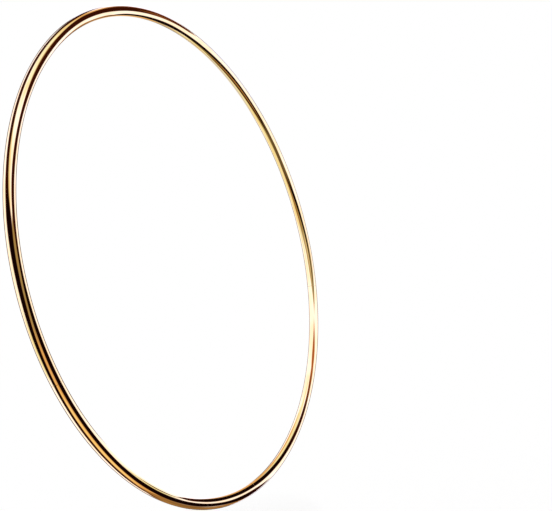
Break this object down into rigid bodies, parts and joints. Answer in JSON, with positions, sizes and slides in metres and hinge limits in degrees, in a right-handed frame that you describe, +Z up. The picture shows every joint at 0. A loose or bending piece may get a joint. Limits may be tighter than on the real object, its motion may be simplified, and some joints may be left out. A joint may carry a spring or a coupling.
{
  "type": "lyra hoop",
  "caption": "Large round acrobat's hoop of plain polished gold tube, made of rolled sections that come apart, joined over inner sleeves by flush countersunk screws.",
  "frame": {"origin": "centre of the hoop, on its axis and midway through the tube", "axes": "+Z up to the middle of the top section, where the hoop is hung or held; +Y along the hoop's axis, out of the face that the screws are in; a joint lies at the bottom"},
  "size_m": [1.8, 0.0382, 1.8],
  "materials": {
    "gold_tube": "gold-coloured, mirror polished",
    "sleeve_aluminium": "plain turned",
    "screw_steel": "bright stainless steel"
  },
  "bodies": {
    "root": {"tube_section_1": "gold_tube", "tube_section_2": "gold_tube", "tube_section_3": "gold_tube", "tube_section_4": "gold_tube", "tube_section_5": "gold_tube", "joint_sleeve_1": "sleeve_aluminium", "joint_sleeve_2": "sleeve_aluminium", "joint_sleeve_3": "sleeve_aluminium", "joint_sleeve_4": "sleeve_aluminium", "joint_sleeve_5": "sleeve_aluminium", "joint_screw_1_1": "screw_steel", "joint_screw_1_2": "screw_steel", "joint_screw_1_3": "screw_steel", "joint_screw_1_4": "screw_steel", "joint_screw_2_1": "screw_steel", "joint_screw_2_2": "screw_steel", "joint_screw_2_3": "screw_steel", "joint_screw_2_4": "screw_steel", "joint_screw_3_1": "screw_steel", "joint_screw_3_2": "screw_steel", "joint_screw_3_3": "screw_steel", "joint_screw_3_4": "screw_steel", "joint_screw_4_1": "screw_steel", "joint_screw_4_2": "screw_steel", "joint_screw_4_3": "screw_steel", "joint_screw_4_4": "screw_steel", "joint_screw_5_1": "screw_steel", "joint_screw_5_2": "screw_steel", "joint_screw_5_3": "screw_steel", "joint_screw_5_4": "screw_steel"}
  },
  "joints": []
}
